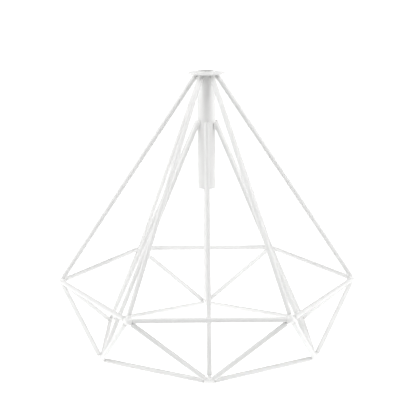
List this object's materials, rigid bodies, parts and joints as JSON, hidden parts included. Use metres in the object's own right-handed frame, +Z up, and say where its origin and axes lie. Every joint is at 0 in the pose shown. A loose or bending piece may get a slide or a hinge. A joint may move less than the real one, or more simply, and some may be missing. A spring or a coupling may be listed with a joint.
{
  "type": "wire cage lamp shade",
  "caption": "Open diamond-shaped lamp shade of white welded steel rod, with a hollow stem and a round cap plate for hanging over a bulb.",
  "frame": {"origin": "on the floor under the stem's axis, in the plane the base ring stands on", "axes": "+Z up along the stem, +X through a corner of the belt, -Y towards the side the picture shows"},
  "size_m": [0.305, 0.2648, 0.28],
  "materials": {
    "white_powder_coat": "white powder coat over mild steel, satin, with a fine orange-peel texture"
  },
  "bodies": {
    "root": {"stem_tube": "white_powder_coat", "cap_plate": "white_powder_coat", "upper_rod_1": "white_powder_coat", "upper_rod_2": "white_powder_coat", "upper_rod_3": "white_powder_coat", "upper_rod_4": "white_powder_coat", "upper_rod_5": "white_powder_coat", "upper_rod_6": "white_powder_coat", "belt_rod_1": "white_powder_coat", "belt_rod_2": "white_powder_coat", "belt_rod_3": "white_powder_coat", "belt_rod_4": "white_powder_coat", "belt_rod_5": "white_powder_coat", "belt_rod_6": "white_powder_coat", "lower_left_rod_1": "white_powder_coat", "lower_left_rod_2": "white_powder_coat", "lower_left_rod_3": "white_powder_coat", "lower_left_rod_4": "white_powder_coat", "lower_left_rod_5": "white_powder_coat", "lower_left_rod_6": "white_powder_coat", "lower_right_rod_1": "white_powder_coat", "lower_right_rod_2": "white_powder_coat", "lower_right_rod_3": "white_powder_coat", "lower_right_rod_4": "white_powder_coat", "lower_right_rod_5": "white_powder_coat", "lower_right_rod_6": "white_powder_coat", "base_rod_1": "white_powder_coat", "base_rod_2": "white_powder_coat", "base_rod_3": "white_powder_coat", "base_rod_4": "white_powder_coat", "base_rod_5": "white_powder_coat", "base_rod_6": "white_powder_coat", "inner_rod_1": "white_powder_coat", "inner_rod_2": "white_powder_coat", "inner_rod_3": "white_powder_coat", "inner_rod_4": "white_powder_coat", "inner_rod_5": "white_powder_coat", "inner_rod_6": "white_powder_coat"}
  },
  "joints": []
}
